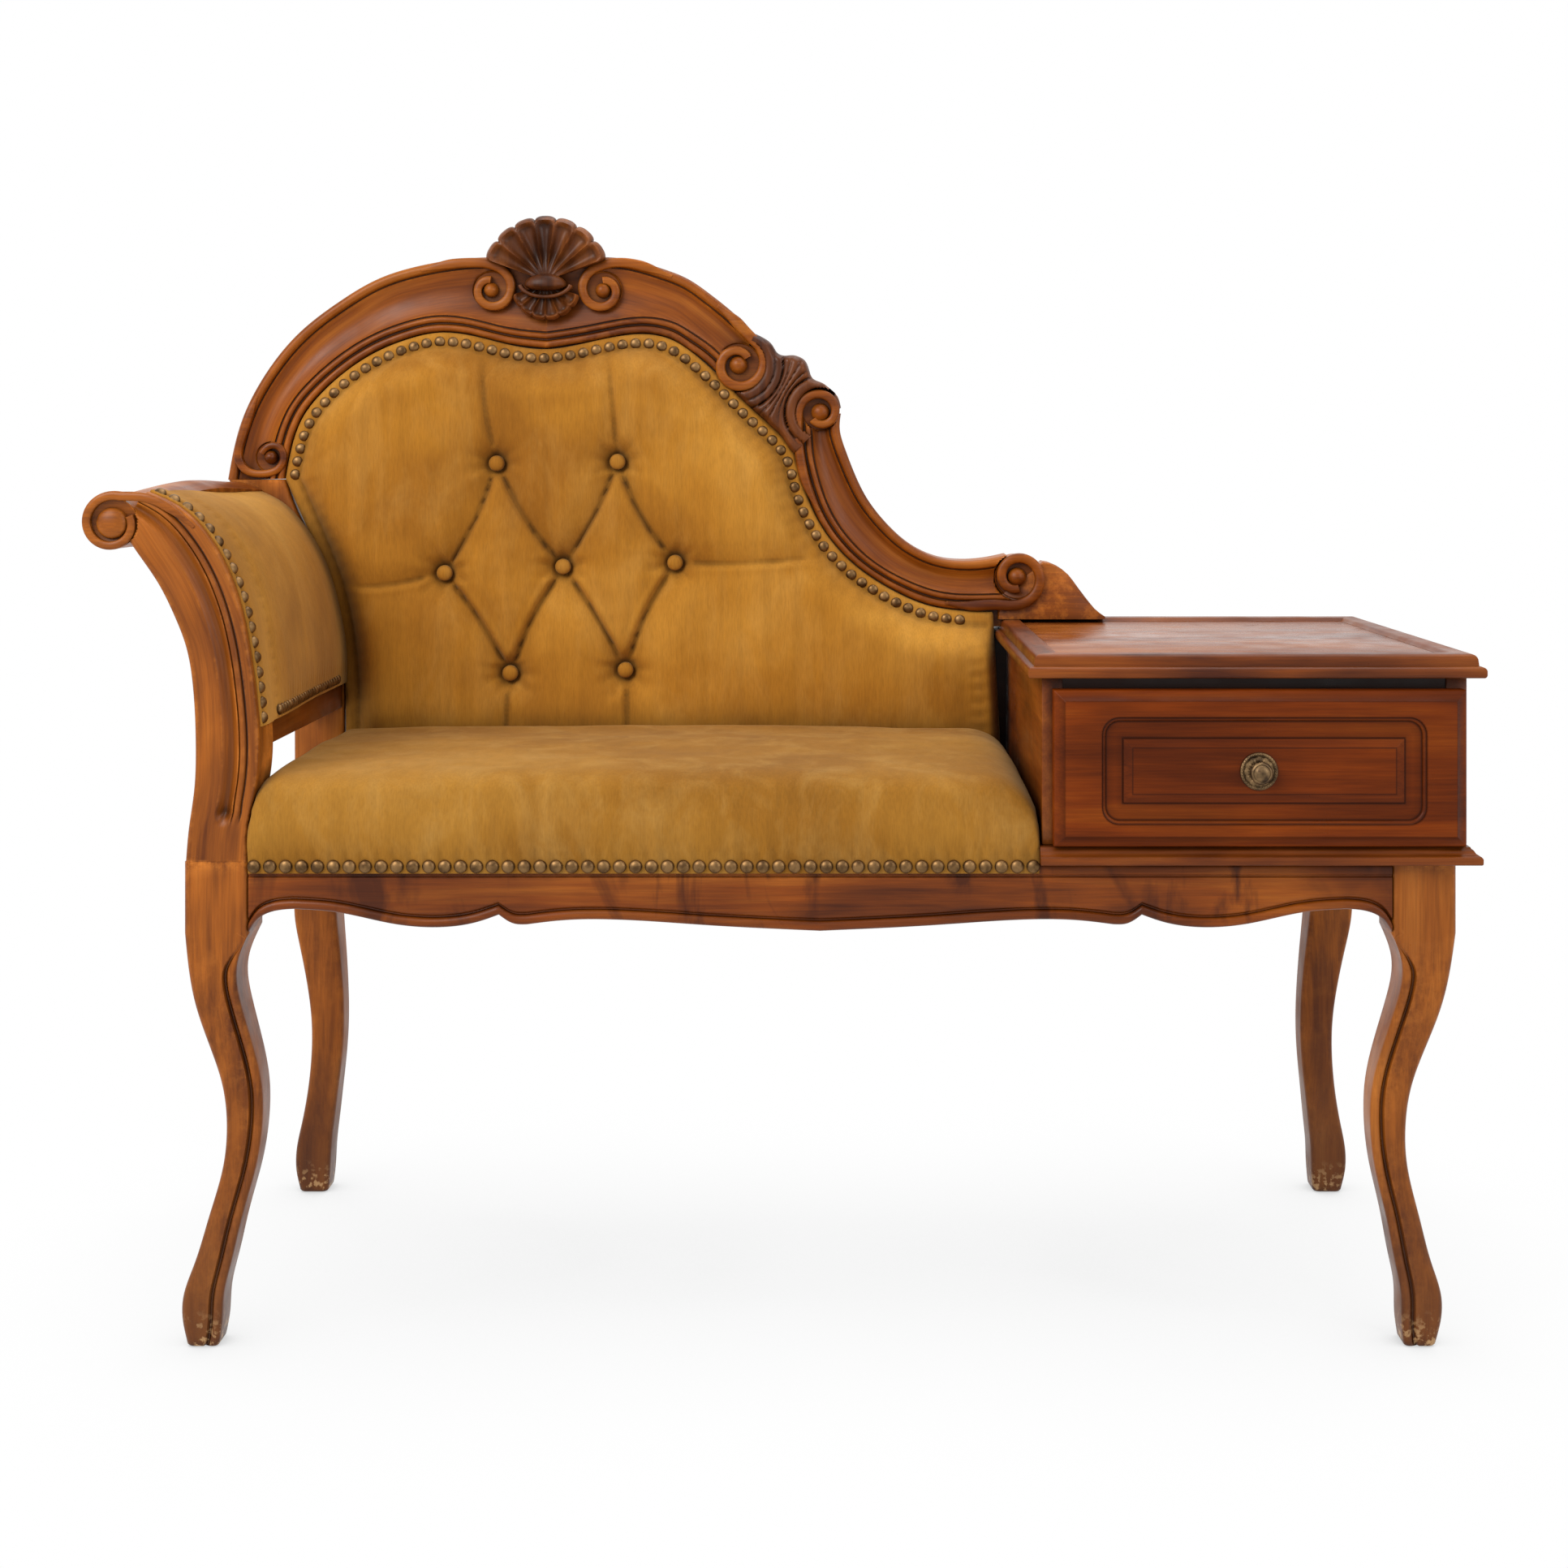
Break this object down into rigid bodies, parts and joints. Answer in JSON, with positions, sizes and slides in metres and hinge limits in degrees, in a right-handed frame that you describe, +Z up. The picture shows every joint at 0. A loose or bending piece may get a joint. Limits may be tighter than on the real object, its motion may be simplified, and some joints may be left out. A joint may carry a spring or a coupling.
{
  "type": "telephone bench",
  "caption": "Upholstered telephone seat with one scrolled arm and a carved sweeping back, joined to a small table with a drawer, on cabriole legs.",
  "frame": {"origin": "centre of the footprint, on the floor", "axes": "+X along the bench from the arm towards the table, +Y from the front to the back, +Z up"},
  "size_m": [1.0798, 0.416, 0.91],
  "materials": {
    "stained_walnut": "satin",
    "plain_wood": "matte",
    "mustard_velvet": "matte",
    "antique_brass": "satin",
    "screw_steel": "satin"
  },
  "bodies": {
    "frame": {"arm_bottom_nails": "antique_brass", "arm_bottom_rail": "stained_walnut", "arm_front_nails": "antique_brass", "arm_outside_cover": "mustard_velvet", "arm_pad": "mustard_velvet", "arm_post": "stained_walnut", "arm_top_rail": "stained_walnut", "back_board": "plain_wood", "back_bottom_rail": "plain_wood", "back_buttons": "mustard_velvet", "back_nails": "antique_brass", "back_pad": "mustard_velvet", "back_right_stile": "plain_wood", "case_back": "plain_wood", "case_base": "stained_walnut", "case_side_left": "stained_walnut", "case_side_right": "stained_walnut", "case_top_rail": "stained_walnut", "corner_block_screws": "screw_steel", "corner_blocks": "plain_wood", "crest_rail_left": "stained_walnut", "crest_rail_right": "stained_walnut", "crest_shell": "stained_walnut", "drawer_kickers": "plain_wood", "drawer_runner_left": "plain_wood", "drawer_runner_right": "plain_wood", "front_left_leg": "stained_walnut", "front_right_leg": "stained_walnut", "front_seat_rail": "stained_walnut", "leaf_clasp": "stained_walnut", "left_seat_rail": "stained_walnut", "middle_seat_rail": "plain_wood", "rear_left_leg": "stained_walnut", "rear_right_leg": "stained_walnut", "rear_seat_rail": "stained_walnut", "right_seat_rail": "stained_walnut", "seat_board": "plain_wood", "seat_nails": "antique_brass", "seat_pad": "mustard_velvet", "swept_rail": "stained_walnut", "table_top_panel": "stained_walnut", "tail_bracket": "stained_walnut", "top_moulding_back": "stained_walnut", "top_moulding_front": "stained_walnut", "top_moulding_left": "stained_walnut", "top_moulding_right": "stained_walnut"},
    "drawer": {"drawer_front": "stained_walnut", "drawer_side_left": "plain_wood", "drawer_side_right": "plain_wood", "drawer_back": "plain_wood", "drawer_bottom": "plain_wood", "knob_backplate": "antique_brass", "drawer_knob": "antique_brass", "knob_screw": "screw_steel"}
  },
  "joints": [
    {"name": "drawer_slide", "type": "slide", "parent": "frame", "child": "drawer", "axis": [0, -1, 0], "range_m": [0, 0.24]}
  ]
}
